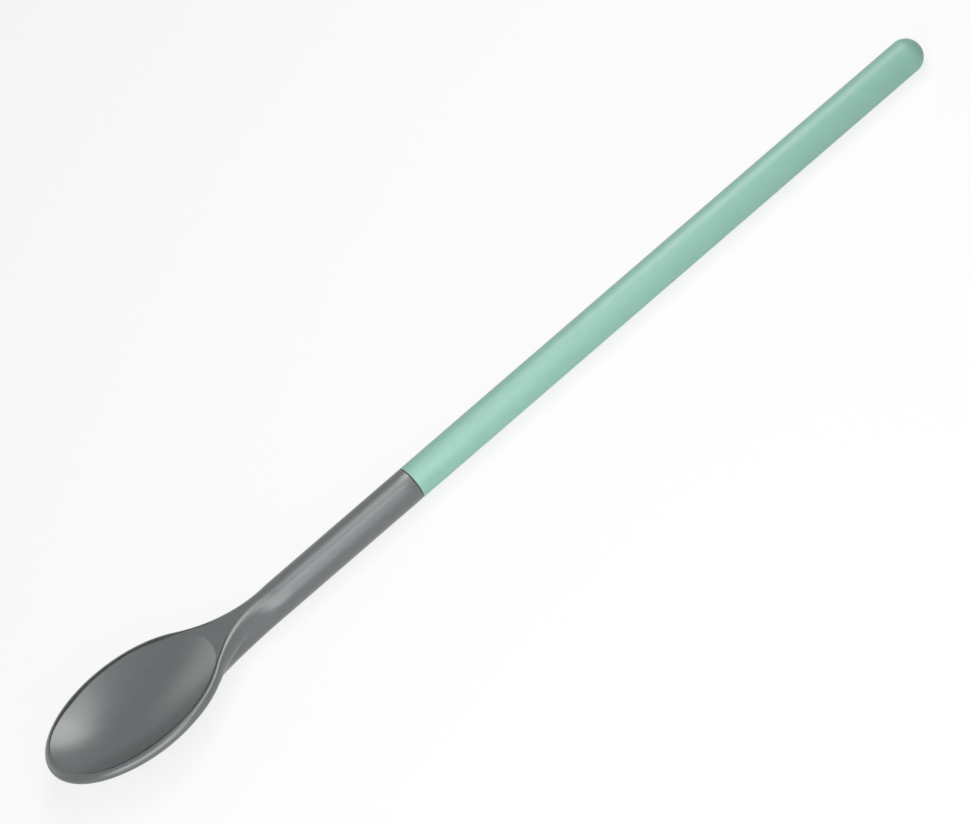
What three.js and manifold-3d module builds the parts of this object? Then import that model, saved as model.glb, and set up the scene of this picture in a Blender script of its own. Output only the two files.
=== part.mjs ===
// A long-handled cooking spoon in millimetres, +Z up, lying at rest on its bowl and handle end.
// In the spoon's own frame X runs from the tip of the bowl along the centre line of the handle,
// and a depth is measured down from the flat plane of the rim, just above the round shank's top.
import * as THREE from "three";
import { mergeVertices } from "three/addons/utils/BufferGeometryUtils.js";
import Module from "manifold-3d";

const wasm = await Module();
wasm.setup();

// Overall sizes
const overallLength = 350;
const handleDiameter = 11.2;
const seamFromTip = 140;

// Outside of the bowl
const bowlWidth = 46.9;
const bowlWidestFromTip = 31.5;
const bowlRearReach = 31.2;
const bowlDepth = 13;
const rimThickness = 3.2;
const rimRise = 0.38;
const rimRiseHeldTo = 68;
const restFlatDepth = 0.2;

// Hollow of the bowl
const sideRimWidth = 1.9;
const tipRimWidth = 2.7;
const rearRimWidth = 1.4;
const floorThickness = 6.4;
const hollowLowestAhead = 5;

// Neck, where the flat deck narrows to a point on top of the shank
const deckTipFromTip = 86;
const bodyRearInset = 2.2;
const keelFlare = 6.4;
const keelBlend = 3.2;
const valleyBlend = 1.4;
const ridgeMidRadius = 2.9;
const crestBlend = 0.6;

// Joint between the shank and the handle
const spigotDiameter = 8.2;
const spigotLength = 14;
const spigotChamfer = 0.5;
const jointFaceGap = 0.3;
const fitClearance = 0.2;
const sealGrooveFromShoulder = 4;
const sealThickness = 0.85;
const sealClearance = 0.12;
const sealSideClearance = 0.275;

// Stiffening rod
const rodDiameter = 4;
const rodInShank = 54;
const rodEndWall = 14;
const rodEndClearance = 0.3;
const rodChamfer = 0.4;

const cutOverrun = 3;

// Shares that shape the outlines
const hollowFrontRoundnessShare = 2.1;
const deckBendStartShare = 0.81;
const rimTurnShare = 0.716;
const topFadeStartShare = 0.34;
const topFadeEndShare = 0.68;
const ridgeGrowthStartShare = 0.38;
const ridgeMidShare = 0.66;
const ridgeGrowthPowerShare = 4;
const waistStartShare = 0.5;
const waistPinchShare = 0.4;
const undersideDropShare = 6;

// Counts of facets
const sectionSteps = 20;
const rimSteps = 7;
const frontRows = 18;
const rearRows = 32;
const hollowSteps = 60;
const hollowLevels = 10;
const roundSteps = sectionSteps * 2;
const domeSteps = 9;
const sealSteps = 10;

const shankRadius = handleDiameter / 2;
const halfBowl = bowlWidth / 2;
const rimRadius = rimThickness / 2;
const halfTurn = Math.PI;
const quarterTurn = Math.PI / 2;

// Depth and inset at which the round rim hands over to the wall of the bowl
const wallTopDepth = rimRadius * (1 - Math.cos(halfTurn * rimTurnShare));
const wallTopInset = rimRadius * (1 - Math.sin(halfTurn * rimTurnShare));

function smoothStep(share) {
  const t = Math.min(Math.max(share, 0), 1);
  return t * t * (3 - 2 * t);
}

// The larger of two values, rounded off over the width given
function smoothMax(a, b, width) {
  const overlap = width > 0 ? Math.max(width - Math.abs(a - b), 0) / width : 0;
  return Math.max(a, b) + (overlap * overlap * width) / 4;
}

// How far along the neck a place lies, from the widest place of the bowl to the deck's tip
function neckShare(x) {
  return (x - bowlWidestFromTip) / (deckTipFromTip - bowlWidestFromTip);
}

// How far the deck's round edge has grown towards the roundness of the shank
function ridgeGrowth(x) {
  const grown = Math.max(neckShare(x) - ridgeGrowthStartShare, 0) / (1 - ridgeGrowthStartShare);
  return Math.min(grown, 1) ** ridgeGrowthPowerShare;
}

function ridgeRadius(x) {
  const early = smoothStep((neckShare(x) - ridgeGrowthStartShare) / (ridgeMidShare - ridgeGrowthStartShare));
  const midway = rimRadius + (ridgeMidRadius - rimRadius) * early;
  return midway + (shankRadius - ridgeMidRadius) * ridgeGrowth(x);
}

// Half-width of the flat top: an ellipse, then a curve that meets the shank's top line
function deckHalfWidth(x) {
  const bend = bowlWidestFromTip + bowlRearReach * deckBendStartShare;
  const along = (x - bowlWidestFromTip) / bowlRearReach;
  if (x <= bend) return halfBowl * Math.sqrt(1 - along ** 2) - rimRadius;
  if (x >= deckTipFromTip) return 0;
  const cosine = Math.sqrt(1 - deckBendStartShare ** 2);
  const startSlope = ((-halfBowl / bowlRearReach) * deckBendStartShare) / cosine;
  const startHalf = halfBowl * cosine - rimRadius;
  const length = deckTipFromTip - bend;
  const t = (x - bend) / length;
  return startHalf * (1 - smoothStep(t)) + length * startSlope * t * (1 - t) ** 2;
}

// Depth of the underside's centre line behind the widest place
function keelDepth(x) {
  return handleDiameter + (bowlDepth - handleDiameter) * (1 - smoothStep(neckShare(x)));
}

// Half-width of the flat plate with its round edge, which the bowl's rim and the deck share
function plateHalfWidth(x, depth) {
  const radius = ridgeRadius(x);
  const flat = deckHalfWidth(x);
  if (depth >= 2 * radius) return flat - undersideDropShare * (depth - 2 * radius);
  return flat + Math.sqrt(radius ** 2 - (radius - depth) ** 2);
}

// How far the body has turned from the bowl's upright sides to the round top of the shank
function topFade(x) {
  return smoothStep((neckShare(x) - topFadeStartShare) / (topFadeEndShare - topFadeStartShare));
}

// Half-width of the bowl's body and of the keel that carries it on to the shank, drawn in at the
// waist below the deck's edge
function bodyHalfWidth(x, depth) {
  const bottom = keelDepth(x);
  const share = Math.min(depth / bottom, 1);
  const reach = Math.min((x - bowlWidestFromTip) / (bowlRearReach - bodyRearInset), 1);
  const bowl = ((halfBowl - wallTopInset) * Math.sqrt(1 - reach ** 2)) / Math.sqrt(1 - wallTopDepth / bottom);
  const remaining = Math.max(1 - neckShare(x), 0);
  const keel = handleDiameter + keelFlare * remaining ** 2;
  const waist = THREE.MathUtils.clamp((neckShare(x) - waistStartShare) / (1 - waistStartShare), 0, 1);
  const pinched = 1 - waistPinchShare * Math.sin(halfTurn * waist) * (1 - share);
  const fade = topFade(x);
  const rounded = share ** (fade / 2) * Math.sqrt(1 - share);
  const hidden = Math.min(depth / wallTopDepth, 1) ** ((1 - fade) / 2);
  return smoothMax(bowl, keel, keelBlend) * pinched * rounded * hidden;
}

function sectionHalfWidth(x, depth) {
  const undercut = plateHalfWidth(x, wallTopDepth) - bodyHalfWidth(x, wallTopDepth);
  const crest = crestBlend * topFade(x) * (1 - ridgeGrowth(x));
  const blend = Math.max(Math.min(undercut, valleyBlend), crest);
  return Math.max(smoothMax(plateHalfWidth(x, depth), bodyHalfWidth(x, depth), blend), 0);
}

// Depth of one step round the section: the rim's own steps, then the wall's down to the bottom
function bowlStepDepth(step, bottom) {
  if (step <= rimSteps) return rimRadius * (1 - Math.cos((halfTurn * rimTurnShare * step) / rimSteps));
  const share = Math.sin((quarterTurn * (step - rimSteps)) / (sectionSteps - rimSteps));
  return wallTopDepth + (bottom - wallTopDepth) * share;
}

function roundStepDepth(step, bottom) {
  return (bottom * (1 - Math.cos((halfTurn * step) / sectionSteps))) / 2;
}

// How far the rim's plane lies above the top of the shank, level along the bowl and the deck
function rise(x) {
  return rimRise * (1 - smoothStep((x - rimRiseHeldTo) / (deckTipFromTip - rimRiseHeldTo)));
}

// A point of the outside, which the rise lifts most at the rim and not at all at the bottom
function skinPoint(x, y, depth, bottom) {
  return [x, y, shankRadius - depth + rise(x) * (1 - depth / bottom)];
}

// One row of the bowl's front half, at an angle from the tip round to the widest place
function frontRow(angle) {
  const row = [];
  for (let step = 0; step <= sectionSteps; step++) {
    const depth = bowlStepDepth(step, bowlDepth);
    const onRim = Math.min(depth, wallTopDepth);
    const inset = rimRadius - Math.sqrt(rimRadius ** 2 - (rimRadius - onRim) ** 2);
    const scale = Math.sqrt(Math.max(1 - (depth - onRim) / (bowlDepth - wallTopDepth), 0));
    const x = bowlWidestFromTip - (bowlWidestFromTip - inset) * scale * Math.cos(angle);
    row.push(skinPoint(x, (halfBowl - inset) * scale * Math.sin(angle), depth, bowlDepth));
  }
  return row;
}

// One row behind the widest place, square to the spoon's length
function rearRow(x) {
  const bottom = keelDepth(x);
  const roundness = smoothStep(neckShare(x));
  const row = [];
  for (let step = 0; step <= sectionSteps; step++) {
    const depth = THREE.MathUtils.lerp(bowlStepDepth(step, bottom), roundStepDepth(step, bottom), roundness);
    const half = step === sectionSteps ? 0 : sectionHalfWidth(x, depth);
    row.push(skinPoint(x, half, depth, bottom));
  }
  return row;
}

// A closed skin over rows that each hold one side of a section and are mirrored to the other
function mirroredSkin(rows) {
  const triangles = [];
  const mirror = ([x, y, z]) => [x, -y, z];
  const addQuad = (a, b, c, d) => triangles.push(a, b, c, a, c, d);
  for (let i = 1; i < rows.length; i++) {
    const before = rows[i - 1];
    const after = rows[i];
    for (let j = 1; j < before.length; j++) {
      addQuad(before[j - 1], after[j - 1], after[j], before[j]);
      addQuad(mirror(before[j - 1]), mirror(before[j]), mirror(after[j]), mirror(after[j - 1]));
    }
    addQuad(mirror(before[0]), mirror(after[0]), after[0], before[0]);
  }
  const last = rows[rows.length - 1];
  const centre = [last[0][0], 0, 0];
  for (let j = 1; j < last.length; j++) {
    triangles.push(last[j], last[j - 1], centre);
    triangles.push(mirror(last[j - 1]), mirror(last[j]), centre);
  }
  return geometryFrom(triangles);
}

function geometryFrom(points) {
  const geometry = new THREE.BufferGeometry();
  geometry.setAttribute("position", new THREE.Float32BufferAttribute(points.flat(), 3));
  return geometry;
}

function solidFrom(geometry) {
  const bare = geometry.clone();
  bare.deleteAttribute("normal");
  bare.deleteAttribute("uv");
  const merged = mergeVertices(bare);
  const corners = Array.from(merged.index.array);
  const kept = [];
  for (let i = 0; i < corners.length; i += 3) {
    const [a, b, c] = corners.slice(i, i + 3);
    if (a !== b && b !== c && c !== a) kept.push(a, b, c);
  }
  const vertProperties = merged.attributes.position.array;
  return new wasm.Manifold(new wasm.Mesh({ numProp: 3, vertProperties, triVerts: new Uint32Array(kept) }));
}

function geometryOf(solid) {
  const mesh = solid.getMesh();
  const geometry = new THREE.BufferGeometry();
  geometry.setAttribute("position", new THREE.BufferAttribute(mesh.vertProperties, 3));
  geometry.setIndex(new THREE.BufferAttribute(mesh.triVerts, 1));
  geometry.computeVertexNormals();
  return geometry;
}

// A solid turned about the X axis from pairs of radius and place along the spoon
function turned(profile, steps = roundSteps) {
  const points = profile.map(([radius, along]) => new THREE.Vector2(radius, along));
  const geometry = new THREE.LatheGeometry(points, steps);
  geometry.rotateZ(-quarterTurn);
  return geometry;
}

function outerHeadSolid() {
  const rows = [];
  for (let i = 0; i < frontRows; i++) rows.push(frontRow((quarterTurn * i) / frontRows));
  const neckLength = deckTipFromTip - bowlWidestFromTip;
  for (let i = 0; i <= rearRows; i++) rows.push(rearRow(bowlWidestFromTip + (neckLength * i) / rearRows));
  rows.push(rearRow(seamFromTip));
  return solidFrom(mirroredSkin(rows));
}

// The hollow: level rings that follow the rim's inner edge and shrink towards the lowest point
function hollowSolid() {
  const halfWidth = halfBowl - sideRimWidth;
  const frontReach = bowlWidestFromTip - tipRimWidth;
  const rearReach = bowlRearReach - rearRimWidth;
  const rimHeight = shankRadius + rimRise;
  const hollowDepth = bowlDepth + rimRise - floorThickness;
  const rounded = (value, power) => Math.sign(value) * Math.abs(value) ** (2 / power);
  const ring = (scale, depth) => {
    const points = [];
    const centre = bowlWidestFromTip - hollowLowestAhead * (1 - scale);
    for (let i = 0; i < hollowSteps; i++) {
      const angle = (2 * halfTurn * i) / hollowSteps;
      const ahead = Math.cos(angle) > 0;
      const power = ahead ? hollowFrontRoundnessShare : 2;
      const reach = scale * (ahead ? frontReach : rearReach);
      const x = centre - reach * rounded(Math.cos(angle), power);
      points.push([x, scale * halfWidth * rounded(Math.sin(angle), power), rimHeight - depth]);
    }
    return points;
  };
  const rings = [ring(1, -cutOverrun)];
  for (let level = 0; level < hollowLevels; level++) {
    const scale = Math.cos((quarterTurn * level) / hollowLevels);
    rings.push(ring(scale, hollowDepth * (1 - scale ** 2)));
  }
  const lowest = [bowlWidestFromTip - hollowLowestAhead, 0, rimHeight - hollowDepth];
  const highest = [bowlWidestFromTip, 0, rimHeight + cutOverrun];
  const triangles = [];
  for (let i = 0; i < hollowSteps; i++) {
    const next = (i + 1) % hollowSteps;
    for (let level = 1; level < rings.length; level++) {
      const above = rings[level - 1];
      const below = rings[level];
      triangles.push(above[i], below[next], below[i], above[i], above[next], below[next]);
    }
    triangles.push(rings[0][i], highest, rings[0][next]);
    const bottom = rings[rings.length - 1];
    triangles.push(bottom[next], lowest, bottom[i]);
  }
  return solidFrom(geometryFrom(triangles));
}

// The seal's groove is as deep as leaves the seal its clearance inside the handle's socket
const socketRadius = spigotDiameter / 2 + fitClearance;
const grooveFloorRadius = socketRadius - sealThickness - 2 * sealClearance;
const grooveWidth = sealThickness + 2 * sealSideClearance;

// The short round tenon on the shank, with the groove that holds the seal
function spigotSolid() {
  const radius = spigotDiameter / 2;
  const end = seamFromTip + spigotLength;
  const grooveStart = seamFromTip + sealGrooveFromShoulder;
  const grooveEnd = grooveStart + grooveWidth;
  return solidFrom(
    turned([
      [0, seamFromTip - cutOverrun],
      [radius, seamFromTip - cutOverrun],
      [radius, grooveStart],
      [grooveFloorRadius, grooveStart],
      [grooveFloorRadius, grooveEnd],
      [radius, grooveEnd],
      [radius, end - spigotChamfer],
      [radius - spigotChamfer, end],
      [0, end],
    ]),
  );
}

const rodStart = seamFromTip - rodInShank;
const rodEnd = overallLength - rodEndWall;
const rodBoreRadius = rodDiameter / 2 + fitClearance;

function rodBoreSolid() {
  const from = rodStart - rodEndClearance;
  const to = seamFromTip + spigotLength + cutOverrun;
  return solidFrom(turned([[0, from], [rodBoreRadius, from], [rodBoreRadius, to], [0, to]]));
}

// How the spoon lies: its floor touches the bowl's small flat and the round end of the handle
const flatDrop = bowlDepth - restFlatDepth - shankRadius;
const endRun = overallLength - shankRadius - bowlWidestFromTip;
const restTilt = Math.acos(shankRadius / Math.hypot(flatDrop, endRun)) - Math.atan2(endRun, flatDrop);

function floorCutSolid() {
  const size = seamFromTip;
  const slab = new THREE.BoxGeometry(size, size, size);
  slab.translate(0, 0, -size / 2);
  slab.rotateY(-restTilt);
  slab.translate(bowlWidestFromTip, 0, -flatDrop);
  return solidFrom(slab);
}

function spoonHeadGeometry() {
  const head = outerHeadSolid().subtract(floorCutSolid()).subtract(hollowSolid());
  return geometryOf(head.add(spigotSolid()).subtract(rodBoreSolid()));
}

function coreRodGeometry() {
  const radius = rodDiameter / 2;
  return turned([
    [0, rodStart],
    [radius - rodChamfer, rodStart],
    [radius, rodStart + rodChamfer],
    [radius, rodEnd - rodChamfer],
    [radius - rodChamfer, rodEnd],
    [0, rodEnd],
  ]);
}

function sealRingGeometry() {
  const tubeRadius = sealThickness / 2;
  const ringRadius = grooveFloorRadius + sealClearance + tubeRadius;
  const middle = seamFromTip + sealGrooveFromShoulder + grooveWidth / 2;
  const profile = [];
  for (let i = 0; i <= sealSteps; i++) {
    const angle = (2 * halfTurn * (i % sealSteps)) / sealSteps;
    profile.push([ringRadius + tubeRadius * Math.cos(angle), middle + tubeRadius * Math.sin(angle)]);
  }
  return turned(profile);
}

function handleSleeveGeometry() {
  const mouth = seamFromTip + jointFaceGap;
  const socketEnd = seamFromTip + spigotLength + jointFaceGap;
  const boreEnd = rodEnd + rodEndClearance;
  const domeStart = overallLength - shankRadius;
  const profile = [[0, boreEnd], [rodBoreRadius, boreEnd], [rodBoreRadius, socketEnd]];
  profile.push([socketRadius, socketEnd], [socketRadius, mouth], [shankRadius, mouth]);
  for (let i = 0; i <= domeSteps; i++) {
    const angle = (quarterTurn * i) / domeSteps;
    const radius = i === domeSteps ? 0 : shankRadius * Math.cos(angle);
    profile.push([radius, domeStart + shankRadius * Math.sin(angle)]);
  }
  return turned(profile);
}

function greyPlastic() {
  return new THREE.MeshStandardMaterial({ color: 0x7f8382, roughness: 0.45, metalness: 0 });
}

function mintPlastic() {
  return new THREE.MeshStandardMaterial({ color: 0x9fcab9, roughness: 0.45, metalness: 0 });
}

function stainlessSteel() {
  return new THREE.MeshStandardMaterial({ color: 0xb8babc, roughness: 0.35, metalness: 1 });
}

function darkRubber() {
  return new THREE.MeshStandardMaterial({ color: 0x242626, roughness: 0.8, metalness: 0 });
}

function namedMesh(name, geometry, material) {
  const mesh = new THREE.Mesh(geometry, material);
  mesh.name = name;
  return mesh;
}

const spoon = new THREE.Group();
spoon.add(namedMesh("spoon_head", spoonHeadGeometry(), greyPlastic()));
spoon.add(namedMesh("core_rod", coreRodGeometry(), stainlessSteel()));
spoon.add(namedMesh("seal_ring", sealRingGeometry(), darkRubber()));
spoon.add(namedMesh("handle_sleeve", handleSleeveGeometry(), mintPlastic()));
spoon.rotation.y = restTilt;

// Its place: the middle of the space it takes up lies over the origin, and it stands on z = 0
const group = new THREE.Group();
group.add(spoon);
group.updateMatrixWorld(true);
const space = new THREE.Box3().setFromObject(group, true);
spoon.position.set(-(space.min.x + space.max.x) / 2, 0, -space.min.z);

export default group;
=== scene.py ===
from math import acos, atan2, cos, hypot, pi, radians, sin, sqrt

import bmesh
import bpy
from mathutils import Matrix, Vector


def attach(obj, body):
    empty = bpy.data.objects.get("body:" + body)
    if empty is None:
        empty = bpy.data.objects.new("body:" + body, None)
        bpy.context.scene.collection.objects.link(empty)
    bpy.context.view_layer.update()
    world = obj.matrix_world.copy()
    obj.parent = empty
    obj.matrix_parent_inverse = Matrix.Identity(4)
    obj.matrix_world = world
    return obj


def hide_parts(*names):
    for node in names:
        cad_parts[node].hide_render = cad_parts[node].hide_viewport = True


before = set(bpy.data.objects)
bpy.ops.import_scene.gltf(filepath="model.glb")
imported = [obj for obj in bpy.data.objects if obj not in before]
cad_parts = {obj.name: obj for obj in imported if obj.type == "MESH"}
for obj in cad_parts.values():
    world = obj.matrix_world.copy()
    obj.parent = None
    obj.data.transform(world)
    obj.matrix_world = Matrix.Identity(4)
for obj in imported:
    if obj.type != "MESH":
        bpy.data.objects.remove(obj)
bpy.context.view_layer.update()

# The spoon is shaped in millimetres in its own frame: x from the bowl's tip along the centre line,
# z up out of the bowl. It is then laid down at rest, in metres.
millimetre = 0.001
lying = {
    "bowlRestAt": 31.5,  # from the tip, where the bowl touches the table
    "bowlRestDepth": 7.2,  # below the centre line
    "handleEndAt": 344.4,  # centre of the round end
    "handleRadius": 5.6,
    "tipAt": -175.009,  # where the tip's end of the centre line lies
    "axisHeight": 7.361,
}


def lyingMatrix(place=lying):
    run = place["handleEndAt"] - place["bowlRestAt"]
    drop = place["bowlRestDepth"]
    tilt = acos(place["handleRadius"] / hypot(drop, run)) - atan2(run, drop)
    moved = Matrix.Translation((place["tipAt"], 0, place["axisHeight"]))
    return Matrix.Scale(millimetre, 4) @ moved @ Matrix.Rotation(tilt, 4, "Y")


spoonToRow = lyingMatrix()


# camera
photoCamera = {
    "swung": 13,  # degrees, towards the bowl's tip
    "leaned": 51,  # degrees, from straight above towards the near side
    "rolled": 40.8,  # degrees, so the handle climbs across the picture
    "distance": 2407.2,
    "aim": (171.65, 1.117, 1.38),
    "lens": 296.9,
    "sensor": 36,
    "nearest": 0.1,  # metres, the range that the camera sees
    "farthest": 50,
}


def addCamera(view=photoCamera):
    swing, lean, roll = (radians(view[key]) for key in ("swung", "leaned", "rolled"))
    along = Vector((cos(swing), -sin(swing) * sin(lean), sin(swing) * cos(lean)))
    across = Vector((0, -cos(lean), -sin(lean)))
    right = along * cos(roll) + across * sin(roll)
    up = along * sin(roll) - across * cos(roll)
    back = right.cross(up)
    turned = Matrix((right, up, back)).transposed()
    settled = spoonToRow.to_3x3().normalized() @ turned
    camera = bpy.data.objects.new("photoCamera", bpy.data.cameras.new("photoCamera"))
    camera.data.lens = view["lens"]
    camera.data.sensor_width = view["sensor"]
    camera.data.clip_start = view["nearest"]
    camera.data.clip_end = view["farthest"]
    camera.rotation_mode = "QUATERNION"
    camera.rotation_quaternion = settled.to_quaternion()
    camera.location = spoonToRow @ (Vector(view["aim"]) + back * view["distance"])
    bpy.context.scene.collection.objects.link(camera)
    bpy.context.scene.camera = camera


addCamera()
print("camera placed")


# materials
def newMaterial(name):
    material = bpy.data.materials.new(name)
    material.use_nodes = True
    tree = material.node_tree
    return material, tree, tree.nodes["Principled BSDF"]


def addNode(tree, kind, inputs=None, **settings):
    node = tree.nodes.new(kind)
    for key, value in settings.items():
        setattr(node, key, value)
    for key, value in (inputs or {}).items():
        node.inputs[key].default_value = value
    return node


def addNoise(tree, scale, detail=2, roughness=0.5, stretch=(1, 1, 1)):
    place = addNode(tree, "ShaderNodeTexCoord")
    mapping = addNode(tree, "ShaderNodeMapping", {"Scale": stretch})
    pattern = {"Scale": scale, "Detail": detail, "Roughness": roughness}
    noise = addNode(tree, "ShaderNodeTexNoise", pattern)
    tree.links.new(place.outputs["Object"], mapping.inputs["Vector"])
    tree.links.new(mapping.outputs["Vector"], noise.inputs["Vector"])
    return noise


noiseSpan = (0.3, 0.7)  # where nearly all values of a noise texture lie


def spread(tree, source, low, high):
    limits = {"From Min": noiseSpan[0], "From Max": noiseSpan[1], "To Min": low, "To Max": high}
    ranged = addNode(tree, "ShaderNodeMapRange", limits)
    tree.links.new(source.outputs["Fac"], ranged.inputs["Value"])
    return ranged.outputs["Result"]


def addBump(tree, shader, source, strength, height):
    bump = addNode(tree, "ShaderNodeBump", {"Strength": strength, "Distance": height})
    tree.links.new(source.outputs["Fac"], bump.inputs["Height"])
    tree.links.new(bump.outputs["Normal"], shader.inputs["Normal"])


greyPlastic = {
    "light": (0.088, 0.098, 0.099, 1),
    "dark": (0.080, 0.090, 0.091, 1),
    "roughness": (0.28, 0.33),
    "gloss": 1,  # 0.5 is an ordinary shine
    "grainScale": 2600,  # per metre: the fine spark texture of the mould
    "grainHeight": 0.000012,
    "grainStrength": 0.35,
    "mottleScale": 420,
    "waveScale": 38,
}

mintPlastic = {
    "light": (0.226, 0.440, 0.356, 1),
    "dark": (0.212, 0.420, 0.338, 1),
    "roughness": (0.40, 0.46),
    "gloss": 0.72,
    "grainScale": 2600,
    "grainHeight": 0.00001,
    "grainStrength": 0.35,
    "mottleScale": 300,
    "waveScale": 30,
}


def mouldedPlastic(name, look):
    material, tree, shader = newMaterial(name)
    mottle = addNoise(tree, look["mottleScale"], detail=3)
    wave = addNoise(tree, look["waveScale"], detail=2, stretch=(0.35, 1, 1))
    grain = addNoise(tree, look["grainScale"], detail=2, roughness=0.6)
    tint = addNode(tree, "ShaderNodeMix", {"A": look["dark"], "B": look["light"]}, data_type="RGBA")
    tree.links.new(spread(tree, mottle, 0, 1), tint.inputs["Factor"])
    tree.links.new(tint.outputs["Result"], shader.inputs["Base Color"])
    tree.links.new(spread(tree, wave, *look["roughness"]), shader.inputs["Roughness"])
    shader.inputs["Specular IOR Level"].default_value = look["gloss"]
    addBump(tree, shader, grain, look["grainStrength"], look["grainHeight"])
    return material


steelLook = {
    "color": (0.62, 0.63, 0.64, 1),
    "roughness": (0.22, 0.34),
    "lineScale": 900,
    "lineStretch": (0.02, 1, 1),  # the lines of drawing run along the rod
    "lineHeight": 0.00001,
    "lineStrength": 0.3,
}


def drawnSteel(look=steelLook):
    material, tree, shader = newMaterial("drawnSteel")
    lines = addNoise(tree, look["lineScale"], detail=3, stretch=look["lineStretch"])
    shader.inputs["Base Color"].default_value = look["color"]
    shader.inputs["Metallic"].default_value = 1
    tree.links.new(spread(tree, lines, *look["roughness"]), shader.inputs["Roughness"])
    addBump(tree, shader, lines, look["lineStrength"], look["lineHeight"])
    return material


rubberLook = {
    "color": (0.018, 0.019, 0.019, 1),
    "roughness": (0.68, 0.82),
    "grainScale": 1800,
    "grainHeight": 0.00002,
    "grainStrength": 0.4,
}


def darkRubber(look=rubberLook):
    material, tree, shader = newMaterial("darkRubber")
    grain = addNoise(tree, look["grainScale"], detail=3)
    shader.inputs["Base Color"].default_value = look["color"]
    tree.links.new(spread(tree, grain, *look["roughness"]), shader.inputs["Roughness"])
    addBump(tree, shader, grain, look["grainStrength"], look["grainHeight"])
    return material


greyMaterial = mouldedPlastic("greyPlastic", greyPlastic)
mintMaterial = mouldedPlastic("mintPlastic", mintPlastic)
print("materials made")


# spoon head: bowl, neck and shank in one moulding
headSizes = {
    "shankRadius": 5.6,
    "seamAt": 140,  # from the tip
    "bowlHalfWidth": 23.45,
    "widestAt": 31.5,
    "rearReach": 31.2,
    "depth": 13,
    "rimRadius": 1.6,
    "rimRise": 0.38,  # how far the rim's plane lies above the top of the shank
    "riseHeldTo": 68,
    "rimTurn": 0.716,  # of a half turn, where the rim hands over to the wall
    "deckTipAt": 86,
    "deckBend": 0.81,  # of the rear reach
    "bodyRearInset": 2.2,
    "keelFlare": 6.4,
    "keelBlend": 3.2,
    "valleyBlend": 1.4,
    "crestBlend": 0.6,
    "fadeStart": 0.34,  # of the neck's length
    "fadeEnd": 0.68,
    "ridgeStart": 0.38,
    "ridgeMid": 0.66,
    "ridgeMidRadius": 2.9,
    "ridgePower": 4,
    "waistStart": 0.5,
    "waistPinch": 0.4,
    "undersideDrop": 6,  # how fast the plate narrows below its round edge
    "pastSeam": 4,  # the skin runs on past the joint and is cut there
    "edgeRadius": 0.15,
    "landHold": 0.05,  # keeps the deck flat up to its edges
}

hollowSizes = {
    "halfWidth": 21.55,
    "frontReach": 28.8,
    "rearReach": 29.8,
    "depth": 6.98,
    "lowestAhead": 5,  # the lowest point lies this far towards the tip from the widest place
    "frontRoundness": 2.1,
    "edgeRadius": 0.12,
    "edgeSteps": 4,
}

headCounts = {  # how finely each stretch is divided
    "front": 44,
    "rear": 100,
    "shank": 14,
    "rim": 14,
    "wall": 34,
    "hollow": 144,
    "levels": 34,
}

rimHeight = headSizes["shankRadius"] + headSizes["rimRise"]
weldDistance = 0.0005


def smoothStep(share):
    t = min(max(share, 0), 1)
    return t * t * (3 - 2 * t)


def smoothMax(a, b, width):
    overlap = max(width - abs(a - b), 0) / width if width > 0 else 0
    return max(a, b) + overlap * overlap * width / 4


def neckShare(x, s=headSizes):
    return (x - s["widestAt"]) / (s["deckTipAt"] - s["widestAt"])


def ridgeGrowth(x, s=headSizes):
    grown = max(neckShare(x) - s["ridgeStart"], 0) / (1 - s["ridgeStart"])
    return min(grown, 1) ** s["ridgePower"]


def ridgeRadius(x, s=headSizes):
    early = smoothStep((neckShare(x) - s["ridgeStart"]) / (s["ridgeMid"] - s["ridgeStart"]))
    midway = s["rimRadius"] + (s["ridgeMidRadius"] - s["rimRadius"]) * early
    return midway + (s["shankRadius"] - s["ridgeMidRadius"]) * ridgeGrowth(x)


# an ellipse, then a curve that meets the top line of the shank
def deckHalfWidth(x, s=headSizes):
    bend = s["widestAt"] + s["rearReach"] * s["deckBend"]
    if x <= bend:
        level = sqrt(1 - ((x - s["widestAt"]) / s["rearReach"]) ** 2)
        return s["bowlHalfWidth"] * level - s["rimRadius"]
    if x >= s["deckTipAt"]:
        return 0
    level = sqrt(1 - s["deckBend"] ** 2)
    slope = -s["bowlHalfWidth"] / s["rearReach"] * s["deckBend"] / level
    length = s["deckTipAt"] - bend
    t = (x - bend) / length
    startHalf = s["bowlHalfWidth"] * level - s["rimRadius"]
    return startHalf * (1 - smoothStep(t)) + length * slope * t * (1 - t) ** 2


def keelDepth(x, s=headSizes):
    shank = 2 * s["shankRadius"]
    return shank + (s["depth"] - shank) * (1 - smoothStep(neckShare(x)))


def wallTop(s=headSizes):
    turn = pi * s["rimTurn"]
    return s["rimRadius"] * (1 - cos(turn)), s["rimRadius"] * (1 - sin(turn))


def plateHalfWidth(x, depth, s=headSizes):
    radius = ridgeRadius(x)
    if depth >= 2 * radius:
        return deckHalfWidth(x) - s["undersideDrop"] * (depth - 2 * radius)
    return deckHalfWidth(x) + sqrt(max(radius**2 - (radius - depth) ** 2, 0))


def topFade(x, s=headSizes):
    return smoothStep((neckShare(x) - s["fadeStart"]) / (s["fadeEnd"] - s["fadeStart"]))


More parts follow.
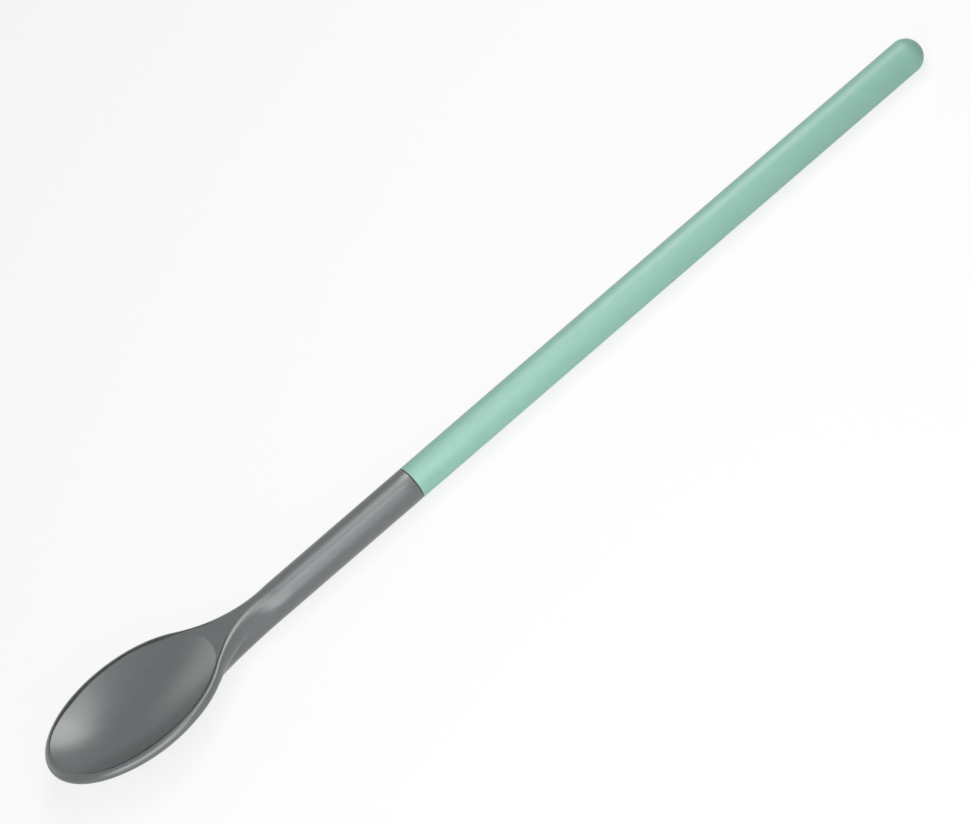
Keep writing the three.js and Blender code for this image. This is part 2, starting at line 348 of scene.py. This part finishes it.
def bodyHalfWidth(x, depth, s=headSizes):
    topDepth, topInset = wallTop()
    bottom = keelDepth(x)
    share = min(depth / bottom, 1)
    reach = min((x - s["widestAt"]) / (s["rearReach"] - s["bodyRearInset"]), 1)
    bowl = (s["bowlHalfWidth"] - topInset) * sqrt(1 - reach**2) / sqrt(1 - topDepth / bottom)
    keel = 2 * s["shankRadius"] + s["keelFlare"] * max(1 - neckShare(x), 0) ** 2
    waist = min(max((neckShare(x) - s["waistStart"]) / (1 - s["waistStart"]), 0), 1)
    pinched = 1 - s["waistPinch"] * sin(pi * waist) * (1 - share)
    fade = topFade(x)
    rounded = share ** (fade / 2) * sqrt(1 - share)
    hidden = min(depth / topDepth, 1) ** ((1 - fade) / 2)
    return smoothMax(bowl, keel, s["keelBlend"]) * pinched * rounded * hidden


def sectionHalfWidth(x, depth, s=headSizes):
    topDepth = wallTop()[0]
    undercut = plateHalfWidth(x, topDepth) - bodyHalfWidth(x, topDepth)
    crest = s["crestBlend"] * topFade(x) * (1 - ridgeGrowth(x))
    blend = max(min(undercut, s["valleyBlend"]), crest)
    return max(smoothMax(plateHalfWidth(x, depth), bodyHalfWidth(x, depth), blend), 0)


def bowlStepDepth(step, bottom, s=headSizes, c=headCounts):
    if step <= c["rim"]:
        return s["rimRadius"] * (1 - cos(pi * s["rimTurn"] * step / c["rim"]))
    topDepth = wallTop()[0]
    return topDepth + (bottom - topDepth) * sin(pi / 2 * (step - c["rim"]) / c["wall"])


def rise(x, s=headSizes):
    share = (x - s["riseHeldTo"]) / (s["deckTipAt"] - s["riseHeldTo"])
    return s["rimRise"] * (1 - smoothStep(share))


def skinPoint(x, y, depth, bottom):  # the rise lifts the rim most and the bottom not at all
    return Vector((x, y, headSizes["shankRadius"] - depth + rise(x) * (1 - depth / bottom)))


def frontPoint(turn, step, s=headSizes):  # turn runs from the tip round to the widest place
    topDepth = wallTop()[0]
    depth = bowlStepDepth(step, s["depth"])
    onRim = min(depth, topDepth)
    inset = s["rimRadius"] - sqrt(s["rimRadius"] ** 2 - (s["rimRadius"] - onRim) ** 2)
    scale = sqrt(max(1 - (depth - onRim) / (s["depth"] - topDepth), 0))
    x = s["widestAt"] - (s["widestAt"] - inset) * scale * cos(turn)
    return skinPoint(x, (s["bowlHalfWidth"] - inset) * scale * sin(turn), depth, s["depth"])


def rearPoint(x, step, s=headSizes, c=headCounts):
    steps = c["rim"] + c["wall"]
    bottom = keelDepth(x)
    roundness = smoothStep(neckShare(x))
    roundDepth = bottom * (1 - cos(pi * step / steps)) / 2
    depth = bowlStepDepth(step, bottom) * (1 - roundness) + roundDepth * roundness
    half = 0 if step == steps else sectionHalfWidth(x, depth)
    return skinPoint(x, half, depth, bottom)


def outlinePoint(index, step, s=headSizes, c=headCounts):
    half = c["front"] + c["rear"] + c["shank"] + 1
    column = index if index <= half else 2 * half - index
    if column <= c["front"]:
        point = frontPoint(pi / 2 * column / c["front"], step)
    elif column <= c["front"] + c["rear"]:
        share = (column - c["front"]) / c["rear"]
        point = rearPoint(s["widestAt"] + (s["deckTipAt"] - s["widestAt"]) * share, step)
    else:
        share = (column - c["front"] - c["rear"]) / c["shank"]
        end = s["seamAt"] + s["pastSeam"]
        point = rearPoint(s["deckTipAt"] + (end - s["deckTipAt"]) * share, step)
    if index > half:
        point.y = -point.y
    elif index == half:
        point.y = 0
    return point


def landPoint(index, hold=headSizes["landHold"]):  # just inside the deck's outline
    point = outlinePoint(index, 0)
    middle = Vector((max(point.x, headSizes["widestAt"]), 0, point.z))
    out = point - middle
    if out.length < 2 * hold:
        return middle
    return middle + out * (1 - hold / out.length)


def hollowPoint(index, scale, depth, grown=0, h=hollowSizes):
    turn = 2 * pi * index / headCounts["hollow"]
    ahead = cos(turn) > 0
    power = 2 / h["frontRoundness"] if ahead else 1
    reach = h["frontReach"] if ahead else h["rearReach"]
    alongShare = abs(cos(turn)) ** power * (1 if ahead else -1)
    acrossShare = abs(sin(turn)) ** power * (1 if sin(turn) > 0 else -1)
    along = (reach * scale + grown) * alongShare
    across = (h["halfWidth"] * scale + grown) * acrossShare
    x = headSizes["widestAt"] - along - h["lowestAhead"] * (1 - scale)
    return Vector((x, across, rimHeight - depth))


def nextLoop(mesh, loop):  # extrudes a loop and gives the new verts in the old order
    links = set()
    for i, vert in enumerate(loop):
        links.update(edge for edge in vert.link_edges if edge.other_vert(vert) == loop[i - 1])
    made = bmesh.ops.extrude_edge_only(mesh, edges=[edge for edge in mesh.edges if edge in links])
    fresh = {item for item in made["geom"] if isinstance(item, bmesh.types.BMVert)}
    partners = []
    for vert in loop:
        others = [edge.other_vert(vert) for edge in vert.link_edges]
        partners.append(next(other for other in others if other in fresh))
    return partners


def placeLoop(loop, pointOf):
    for index, vert in enumerate(loop):
        vert.co = pointOf(index)


def boundaryEdges(mesh):
    return [edge for edge in mesh.edges if edge.is_boundary]


def orderedLoop(edges):
    edges = set(edges)
    first = next(iter(edges))
    loop = [first.verts[0], first.verts[1]]
    edges.remove(first)
    while edges:
        step = next(edge for edge in loop[-1].link_edges if edge in edges)
        edges.remove(step)
        loop.append(step.other_vert(loop[-1]))
    return loop[:-1]


def makeOuterSkin(mesh, s=headSizes, c=headCounts):
    count = 2 * (c["front"] + c["rear"] + c["shank"] + 1)
    top = bmesh.ops.create_circle(mesh, segments=count, radius=1)["verts"]
    placeLoop(top, lambda i: outlinePoint(i, 0))
    loop = top
    for step in range(1, c["rim"] + c["wall"] + 1):
        loop = nextLoop(mesh, loop)
        placeLoop(loop, lambda i: outlinePoint(i, step))
    land = nextLoop(mesh, top)
    placeLoop(land, landPoint)
    bmesh.ops.remove_doubles(mesh, verts=mesh.verts[:], dist=weldDistance)
    cut = mesh.verts[:] + mesh.edges[:] + mesh.faces[:]
    end = (s["seamAt"] - s["edgeRadius"], 0, 0)
    bmesh.ops.bisect_plane(mesh, geom=cut, plane_co=end, plane_no=(1, 0, 0), clear_outer=True)


def makeHollow(mesh, h=hollowSizes, c=headCounts):
    edge = bmesh.ops.create_circle(mesh, segments=c["hollow"], radius=1)["verts"]
    placeLoop(edge, lambda i: hollowPoint(i, 1, 0))
    corner = [e for e in mesh.edges if e.verts[0] in edge and e.verts[1] in edge]
    land = nextLoop(mesh, edge)
    placeLoop(land, lambda i: hollowPoint(i, 1, 0, grown=headSizes["landHold"] + h["edgeRadius"]))
    loop = edge
    for level in range(1, c["levels"]):
        scale = cos(pi / 2 * level / c["levels"])
        loop = nextLoop(mesh, loop)
        placeLoop(loop, lambda i: hollowPoint(i, scale, h["depth"] * (1 - scale**2)))
    bmesh.ops.contextual_create(mesh, geom=loop)
    bottom = [face for face in loop[0].link_faces if len(face.verts) == c["hollow"]]
    middle = bmesh.ops.poke(mesh, faces=bottom)["verts"][0]
    middle.co = Vector((headSizes["widestAt"] - h["lowestAhead"], 0, rimHeight - h["depth"]))
    bmesh.ops.bevel(
        mesh,
        geom=corner,
        offset=h["edgeRadius"],
        offset_type="OFFSET",
        segments=h["edgeSteps"],
        profile=0.5,
        affect="EDGES",
        material=-1,
    )


def finishPiece(mesh, name, material, nodes, toRow=spoonToRow, sharp=35):
    bmesh.ops.transform(mesh, matrix=toRow, verts=mesh.verts[:])
    bmesh.ops.recalc_face_normals(mesh, faces=mesh.faces[:])
    data = bpy.data.meshes.new(name)
    mesh.to_mesh(data)
    mesh.free()
    data.polygons.foreach_set("use_smooth", [True] * len(data.polygons))
    data.set_sharp_from_angle(angle=radians(sharp))
    data.materials.append(material)
    piece = bpy.data.objects.new(name, data)
    bpy.context.scene.collection.objects.link(piece)
    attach(piece, "root")
    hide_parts(*nodes)
    return piece


jointSizes = {
    "spigotRadius": 4.1,
    "spigotLength": 14,
    "spigotChamfer": 0.5,
    "grooveAt": 144,
    "grooveEnd": 145.4,
    "grooveRadius": 3.21,
    "boreRadius": 2.2,
    "boreStart": 85.7,
    "cutWithin": 1,  # the edges of the cut shank lie this near the joint
}

roundTurns = [pi / 8 * step for step in (1, 2, 3, 4)]  # a quarter turn round an edge


def makeSpigot(mesh, j=jointSizes, s=headSizes):
    nearest = s["seamAt"] - j["cutWithin"]
    cut = [edge for edge in boundaryEdges(mesh) if min(v.co.x for v in edge.verts) > nearest]
    loop = orderedLoop(cut)
    end = s["seamAt"] + j["spigotLength"]
    edge = s["edgeRadius"]
    rounded = [(edge * (1 - sin(a)), edge * (1 - cos(a))) for a in roundTurns]
    steps = [(s["seamAt"] - back, s["shankRadius"] - down) for back, down in rounded]
    steps += [(s["seamAt"], j["spigotRadius"]), (j["grooveAt"], j["spigotRadius"])]
    steps += [(j["grooveAt"], j["grooveRadius"]), (j["grooveEnd"], j["grooveRadius"])]
    steps += [(j["grooveEnd"], j["spigotRadius"]), (end - j["spigotChamfer"], j["spigotRadius"])]
    steps += [(end, j["spigotRadius"] - j["spigotChamfer"]), (end, j["boreRadius"])]
    steps += [(j["boreStart"], j["boreRadius"])]
    for x, radius in steps:
        loop = nextLoop(mesh, loop)
        for vert in loop:
            out = Vector((0, vert.co.y, vert.co.z)).normalized()
            vert.co = Vector((x, 0, 0)) + out * radius
    bmesh.ops.contextual_create(mesh, geom=loop)


def makeSpoonHead():
    mesh = bmesh.new()
    makeOuterSkin(mesh)
    makeSpigot(mesh)
    makeHollow(mesh)
    bmesh.ops.bridge_loops(mesh, edges=boundaryEdges(mesh))
    bmesh.ops.transform(mesh, matrix=spoonToRow, verts=mesh.verts[:])
    everything = mesh.verts[:] + mesh.edges[:] + mesh.faces[:]
    floor = {"plane_co": (0, 0, 0), "plane_no": (0, 0, -1)}  # cuts the small flat it rests on
    bmesh.ops.bisect_plane(mesh, geom=everything, clear_outer=True, **floor)
    bmesh.ops.holes_fill(mesh, edges=boundaryEdges(mesh), sides=0)
    laid = Matrix()  # it is laid down already
    return finishPiece(mesh, "spoonHead", greyMaterial, ["spoon_head"], laid)


spoonHead = makeSpoonHead()
print("spoon head made", len(spoonHead.data.polygons), "faces")


# handle sleeve
handleSizes = {
    "radius": lying["handleRadius"],
    "mouthAt": 140.3,
    "edgeRadius": 0.15,
    "domeAt": lying["handleEndAt"],
    "socketRadius": 4.3,
    "socketEnd": 154.3,
    "boreRadius": 2.2,
    "boreEnd": 336.3,
    "domeSteps": 24,
    "around": 128,
}


def makeHandle(h=handleSizes):
    mesh = bmesh.new()
    tip = mesh.verts.new((h["domeAt"] + h["radius"], 0, 0))
    dome = {"cent": (h["domeAt"], 0, 0), "axis": (0, 1, 0), "angle": -pi / 2}
    bmesh.ops.spin(mesh, geom=[tip], steps=h["domeSteps"], **dome)
    last = max(mesh.verts, key=lambda vert: vert.co.z)
    mouth = h["mouthAt"] + h["edgeRadius"]
    steps = [(mouth, h["radius"])]
    edge = h["edgeRadius"]
    steps += [(mouth - edge * sin(a), h["radius"] - edge * (1 - cos(a))) for a in roundTurns]
    steps += [(h["mouthAt"], h["socketRadius"]), (h["socketEnd"], h["socketRadius"])]
    steps += [(h["socketEnd"], h["boreRadius"]), (h["boreEnd"], h["boreRadius"]), (h["boreEnd"], 0)]
    for x, z in steps:
        last = bmesh.ops.extrude_vert_indiv(mesh, verts=[last])["verts"][0]
        last.co = (x, 0, z)
    profile = mesh.verts[:] + mesh.edges[:]
    turn = {"cent": (0, 0, 0), "axis": (1, 0, 0), "angle": 2 * pi, "use_merge": True}
    bmesh.ops.spin(mesh, geom=profile, steps=h["around"], **turn)
    bmesh.ops.remove_doubles(mesh, verts=mesh.verts[:], dist=weldDistance)
    return finishPiece(mesh, "handleSleeve", mintMaterial, ["handle_sleeve"])


handleSleeve = makeHandle()
print("handle sleeve made", len(handleSleeve.data.polygons), "faces")


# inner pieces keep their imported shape
for node, material in (("core_rod", drawnSteel()), ("seal_ring", darkRubber())):
    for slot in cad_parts[node].material_slots:
        slot.material = material
print("inner pieces finished")


# table and light
tableLook = {
    "size": 6,
    "color": (0.82, 0.82, 0.82, 1),
    "roughness": 0.9,
    "gloss": 0.1,
    "glow": 1.02,
    "shown": 0.8,  # the share of the plain white in what the camera sees, over the lit table
}


# 1 for what the camera sees, straight on or in gloss or glass, and 0 for the light on things
def seenRays(tree):
    rays = addNode(tree, "ShaderNodeLightPath")
    seen = rays.outputs["Is Camera Ray"]
    for kind in ("Is Glossy Ray", "Is Transmission Ray"):
        either = addNode(tree, "ShaderNodeMath", operation="MAXIMUM")
        tree.links.new(seen, either.inputs[0])
        tree.links.new(rays.outputs[kind], either.inputs[1])
        seen = either.outputs[0]
    return seen


def makeTable(look=tableLook):
    mesh = bmesh.new()
    bmesh.ops.create_grid(mesh, x_segments=1, y_segments=1, size=look["size"] / 2)
    data = bpy.data.meshes.new("table")
    mesh.to_mesh(data)
    mesh.free()
    table = bpy.data.objects.new("table", data)
    bpy.context.scene.collection.objects.link(table)
    material, tree, shader = newMaterial("paleTable")
    shader.inputs["Base Color"].default_value = look["color"]
    shader.inputs["Roughness"].default_value = look["roughness"]
    shader.inputs["Specular IOR Level"].default_value = look["gloss"]
    glow = addNode(tree, "ShaderNodeEmission", {"Color": (1, 1, 1, 1), "Strength": look["glow"]})
    share = addNode(tree, "ShaderNodeMath", {1: look["shown"]}, operation="MULTIPLY")
    mix = addNode(tree, "ShaderNodeMixShader")
    tree.links.new(seenRays(tree), share.inputs[0])
    tree.links.new(share.outputs[0], mix.inputs["Fac"])
    tree.links.new(shader.outputs["BSDF"], mix.inputs[1])
    tree.links.new(glow.outputs["Emission"], mix.inputs[2])
    tree.links.new(mix.outputs["Shader"], tree.nodes["Material Output"].inputs["Surface"])
    data.materials.append(material)


worldLook = {"ambient": 0.05, "seen": 0.7}


def makeWorld(look=worldLook):
    world = bpy.data.worlds.new("studio")
    world.use_nodes = True
    bpy.context.scene.world = world
    tree = world.node_tree
    lit = tree.nodes["Background"]
    lit.inputs["Color"].default_value = (1, 1, 1, 1)
    lit.inputs["Strength"].default_value = look["ambient"]
    white = addNode(tree, "ShaderNodeBackground", {"Color": (1, 1, 1, 1), "Strength": look["seen"]})
    mix = addNode(tree, "ShaderNodeMixShader")
    tree.links.new(seenRays(tree), mix.inputs["Fac"])
    tree.links.new(lit.outputs["Background"], mix.inputs[1])
    tree.links.new(white.outputs["Background"], mix.inputs[2])
    tree.links.new(mix.outputs["Shader"], tree.nodes["World Output"].inputs["Surface"])


# turn from the near side and height in degrees, distance and size in metres, watts
softBoxes = {
    "front": (2, 58, 0.45, 0.21, 0.40),
    "lowLeft": (-29, 15, 0.51, 0.66, 4.0),
    "handleSide": (119, 57, 0.50, 0.27, 0.96),
    "behind": (211, 18, 1.50, 1.23, 4.2),
    "overhead": (83, 78, 0.52, 0.23, 0.46),
}


def makeSoftBoxes(boxes=softBoxes):
    for name, (turn, height, distance, size, power) in boxes.items():
        lamp = bpy.data.lights.new(name, "AREA")
        lamp.shape = "SQUARE"
        lamp.size = size
        lamp.energy = power
        box = bpy.data.objects.new(name, lamp)
        box.visible_camera = False
        a, e = radians(turn), radians(height)
        out = Vector((sin(a) * cos(e), -cos(a) * cos(e), sin(e)))
        box.location = out * distance
        box.rotation_mode = "QUATERNION"
        box.rotation_quaternion = out.to_track_quat("Z", "Y")
        bpy.context.scene.collection.objects.link(box)


makeTable()
makeWorld()
makeSoftBoxes()
bpy.context.scene.view_settings.view_transform = "Standard"
print("table and light set")
